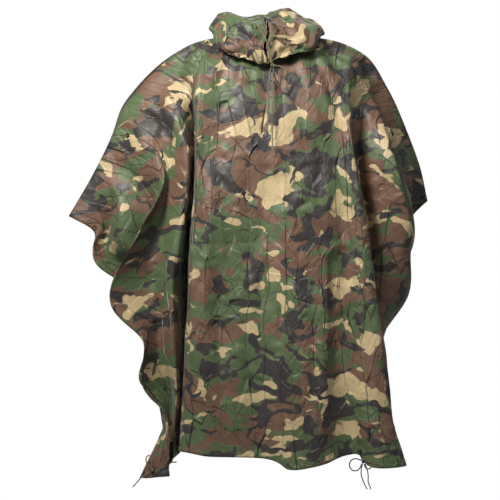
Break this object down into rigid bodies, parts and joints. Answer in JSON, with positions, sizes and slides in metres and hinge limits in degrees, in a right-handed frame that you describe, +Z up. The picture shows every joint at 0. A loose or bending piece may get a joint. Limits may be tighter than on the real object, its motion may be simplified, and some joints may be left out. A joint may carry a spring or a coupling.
{
  "type": "rain poncho",
  "caption": "Hooded rain poncho of thin nylon in a four-colour camouflage, worn: two panels hung over shoulders and arms, hood drawn shut by a neck cord, tie cords at the front hem corners.",
  "frame": {"origin": "on the centre line at the base of the wearer's neck, where the shoulders carry the cloth", "axes": "+Z up, +Y to the wearer's back, +X to the wearer's left; the front faces -Y"},
  "size_m": [0.928, 0.4039, 1.205],
  "materials": {
    "cloth": "thin coated nylon with a silky sheen, printed in a four-colour woodland camouflage",
    "brass_dark": "blackened brass",
    "cord_olive": "braided olive cord",
    "cord_black": "braided black cord"
  },
  "bodies": {
    "root": {"front_panel": "cloth", "back_panel": "cloth", "hood_left": "cloth", "hood_right": "cloth", "hood_eyelet_left": "brass_dark", "hood_eyelet_right": "brass_dark", "arm_snap_left": "brass_dark", "arm_snap_right": "brass_dark", "wing_eyelet_left": "brass_dark", "wing_eyelet_right": "brass_dark", "corner_eyelet_front_left": "brass_dark", "corner_eyelet_front_right": "brass_dark", "corner_eyelet_back_left": "brass_dark", "corner_eyelet_back_right": "brass_dark", "neck_cord_left_strand": "cord_olive", "neck_cord_right_strand": "cord_olive", "neck_cord_tail": "cord_olive", "neck_cord_end_left": "cord_olive", "neck_cord_end_right": "cord_olive", "neck_cord_knot": "cord_olive", "right_tie_stub": "cord_black", "right_tie_bow": "cord_black", "right_tie_small_bow": "cord_black", "right_tie_end_left": "cord_olive", "right_tie_end_right": "cord_olive", "right_tie_knot": "cord_black", "left_tie_loop": "cord_olive", "left_tie_tail": "cord_olive", "left_tie_knot": "cord_olive", "left_tie_stub": "cord_black"}
  },
  "joints": []
}
